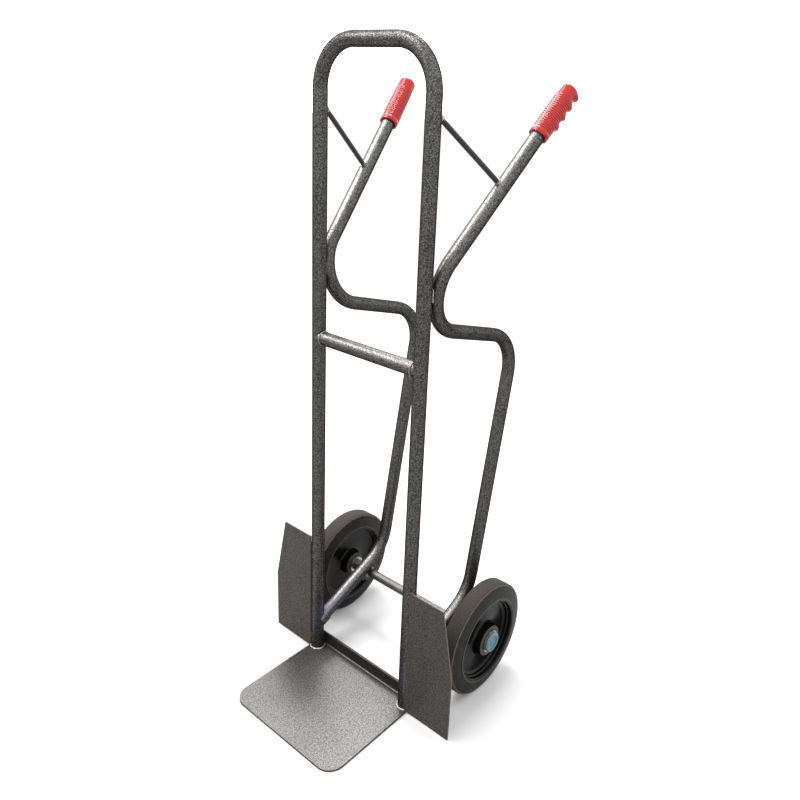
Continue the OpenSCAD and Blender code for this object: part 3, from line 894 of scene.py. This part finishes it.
def build_frame_finish():
    """Gives each node that keeps its CAD mesh the finish of its material slot."""
    paint = settings().paint
    tube_paint = (paint.tube_dark, paint.tube_light, paint.fleck)
    tube = hammered_paint("Hammered tube paint", *tube_paint, heat=True)
    # The skid and bar paints carry the painted highlight on their upper sides.
    skid = hammered_paint(
        "Hammered skid paint", *tube_paint, heat=True, brighter=(ARM_LIGHT, LEG_LIGHT),
    )
    bar = hammered_paint("Hammered bar paint", *tube_paint, brighter=(BAR_LIGHT,))
    by_slot = {
        "frame_paint": tube,
        "plate_paint": hammered_paint(
            "Hammered plate paint", paint.plate_dark, paint.plate_light, paint.fleck * 1.1,
            metal=0.8, rough=0.38, shade_above=FLANGE_SHADE_FROM,
        ),
        "guard_paint": hammered_paint(
            "Guard paint", paint.guard_dark, paint.guard_light, paint.fleck * 0.8,
            metal=0.45, rough=0.5, edges=0.12,
        ),
        "rod_black": rod_paint("Brace rod paint", paint.rod),
        "bare_steel": turned_steel("Bare steel", BARE_STEEL, 0.38),
        "zinc": turned_steel("Zinc plate", ZINC, 0.24),
        "bearing_steel": turned_steel("Bearing steel", BEARING_STEEL, 0.25),
        "cage_plastic": plain_plastic("Cage plastic", CAGE, 0.5),
        "weld": weld_metal("Weld bead", paint.weld),
    }
    for part in frame["record"]["subparts"]:
        material = by_slot.get(part["material_slot"])
        # The handle tubes, the skid foot welds and the cross bar get the paint with the painted
        # highlight.
        if part["node"] == "skid_foot_welds" or part["node"].endswith("handle_tube"):
            material = skid
        elif part["node"] == "cross_bar":
            material = bar
        if material:
            for place in frame["nodes"][part["node"]].material_slots:
                place.material = material


def build_stage():
    """Pale floor, bright sky, four softboxes and the camera."""
    look = settings().stage
    scene = bpy.context.scene
    deselect()
    bpy.ops.mesh.primitive_plane_add(size=FLOOR_SIZE, location=(0, 0, 0))
    floor = started("floor")
    floor.data.materials.append(stage_finish("Floor finish", look.floor))
    world = bpy.data.worlds.new("Studio")
    scene.world = world
    world.use_nodes = True
    back = world.node_tree.nodes["Background"]
    back.inputs["Color"].default_value = WHITE
    back.inputs["Strength"].default_value = look.sky
    for name, place, size, setting, share in LAMPS:
        lamp = bpy.data.lights.new(name, "AREA")
        lamp.energy = getattr(look, setting) * share
        lamp.size = size
        holder = bpy.data.objects.new(name, lamp)
        scene.collection.objects.link(holder)
        holder.location = place
        aim = Vector(LAMP_TARGET) - Vector(place)
        holder.rotation_euler = aim.to_track_quat("-Z", "Y").to_euler()
    scene.view_settings.view_transform = "Standard"
    view = bpy.data.cameras.new("Camera")
    view.lens = look.lens
    view.sensor_width = SENSOR_WIDTH
    view.shift_x, view.shift_y = FRAMING_SHIFT
    view.clip_start, view.clip_end = NEAREST, FARTHEST
    camera = bpy.data.objects.new("Camera", view)
    scene.collection.objects.link(camera)
    camera.location = CAMERA_PLACE
    camera.rotation_euler = [math.radians(turn) for turn in CAMERA_TURN]
    scene.camera = camera


# ---- add-on ----
class HANDTRUCK_OT_frame(bpy.types.Operator):
    """Paint the welded frame and give the small metal parts their finish"""

    bl_idname = "hand_truck.frame"
    bl_label = "Frame finishes"

    def execute(self, context):
        build_frame_finish()
        return {"FINISHED"}


class HANDTRUCK_OT_wheels(bpy.types.Operator):
    """Model the tyres, rims and axle caps"""

    bl_idname = "hand_truck.wheels"
    bl_label = "Wheels"

    def execute(self, context):
        build_wheels()
        return {"FINISHED"}


class HANDTRUCK_OT_grips(bpy.types.Operator):
    """Model the two ribbed grips"""

    bl_idname = "hand_truck.grips"
    bl_label = "Grips"

    def execute(self, context):
        build_grips()
        return {"FINISHED"}


class HANDTRUCK_OT_welds(bpy.types.Operator):
    """Model the rippled weld beads"""

    bl_idname = "hand_truck.welds"
    bl_label = "Weld beads"

    def execute(self, context):
        build_welds()
        return {"FINISHED"}


class HANDTRUCK_OT_stage(bpy.types.Operator):
    """Add the floor, the lights and the camera"""

    bl_idname = "hand_truck.stage"
    bl_label = "Stage"

    def execute(self, context):
        build_stage()
        return {"FINISHED"}


OPERATORS = (
    HANDTRUCK_OT_frame, HANDTRUCK_OT_wheels, HANDTRUCK_OT_grips,
    HANDTRUCK_OT_welds, HANDTRUCK_OT_stage,
)


class HANDTRUCK_PT_panel(bpy.types.Panel):
    """Hand truck steps and settings"""

    bl_idname = "HANDTRUCK_PT_panel"
    bl_label = "Hand truck"
    bl_space_type = "VIEW_3D"
    bl_region_type = "UI"
    bl_category = "Hand truck"

    def draw(self, context):
        for group in ("paint", "wheel", "grip", "stage"):
            box = self.layout.box()
            values = getattr(context.scene.hand_truck, group)
            for key in values.__annotations__:
                box.prop(values, key)
        for step in OPERATORS:
            self.layout.operator(step.bl_idname)


CLASSES = (
    PaintSettings, WheelSettings, GripSettings, StageSettings, HandTruckSettings,
    *OPERATORS, HANDTRUCK_PT_panel,
)


def register():
    for item in CLASSES:
        bpy.utils.register_class(item)
    bpy.types.Scene.hand_truck = bpy.props.PointerProperty(type=HandTruckSettings)


def unregister():
    del bpy.types.Scene.hand_truck
    for item in reversed(CLASSES):
        bpy.utils.unregister_class(item)


def main():
    register()
    bpy.ops.hand_truck.frame()
    bpy.ops.hand_truck.wheels()
    bpy.ops.hand_truck.grips()
    bpy.ops.hand_truck.welds()
    bpy.ops.hand_truck.stage()


if __name__ == "__main__":
    main()
